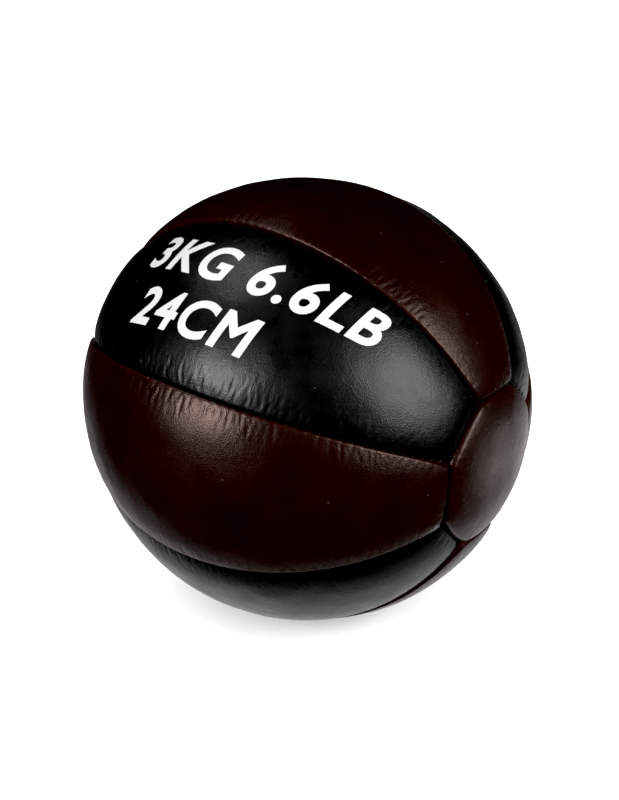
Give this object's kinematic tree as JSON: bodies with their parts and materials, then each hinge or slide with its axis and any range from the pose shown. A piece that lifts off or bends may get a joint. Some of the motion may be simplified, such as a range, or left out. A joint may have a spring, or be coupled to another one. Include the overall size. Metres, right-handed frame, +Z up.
{
  "type": "medicine ball",
  "caption": "Stuffed leather medicine ball with alternating black and brown gores, octagonal end caps, turned-in seams, a weight bag inside, and a soft flat patch that it rests on.",
  "frame": {"origin": "centre of the ball's bounding box", "axes": "+X through the middles of the two end caps, towards the right cap; +Z up, away from the flat patch that the ball rests on; -Y towards the front"},
  "size_m": [0.2473, 0.2427, 0.2377],
  "materials": {
    "black_leather": "satin",
    "brown_leather": "satin",
    "white_print": "matte",
    "lining_canvas": "matte",
    "waxed_thread": "satin",
    "packed_textile": "matte",
    "bag_canvas": "matte",
    "tie_cord": "matte",
    "iron_grit": "matte"
  },
  "bodies": {
    "root": {"black_gore_1": "black_leather", "brown_gore_1": "brown_leather", "black_gore_2": "black_leather", "brown_gore_2": "brown_leather", "black_gore_3": "black_leather", "brown_gore_3": "brown_leather", "black_gore_4": "black_leather", "brown_gore_4": "brown_leather", "end_cap_right": "brown_leather", "cap_lining_right": "lining_canvas", "cap_seam_thread_right": "waxed_thread", "stuffing_right": "packed_textile", "end_cap_left": "brown_leather", "cap_lining_left": "lining_canvas", "cap_seam_thread_left": "waxed_thread", "stuffing_left": "packed_textile", "gore_lining_1": "lining_canvas", "gore_seam_thread_1": "waxed_thread", "gore_lining_2": "lining_canvas", "gore_seam_thread_2": "waxed_thread", "gore_lining_3": "lining_canvas", "gore_seam_thread_3": "waxed_thread", "gore_lining_4": "lining_canvas", "gore_seam_thread_4": "waxed_thread", "gore_lining_5": "lining_canvas", "gore_seam_thread_5": "waxed_thread", "gore_lining_6": "lining_canvas", "gore_seam_thread_6": "waxed_thread", "gore_lining_7": "lining_canvas", "gore_seam_thread_7": "waxed_thread", "gore_lining_8": "lining_canvas", "gore_seam_thread_8": "waxed_thread", "closing_stitch": "waxed_thread", "weight_bag": "bag_canvas", "weight_bag_tie": "tie_cord", "weight_fill": "iron_grit"}
  },
  "joints": []
}
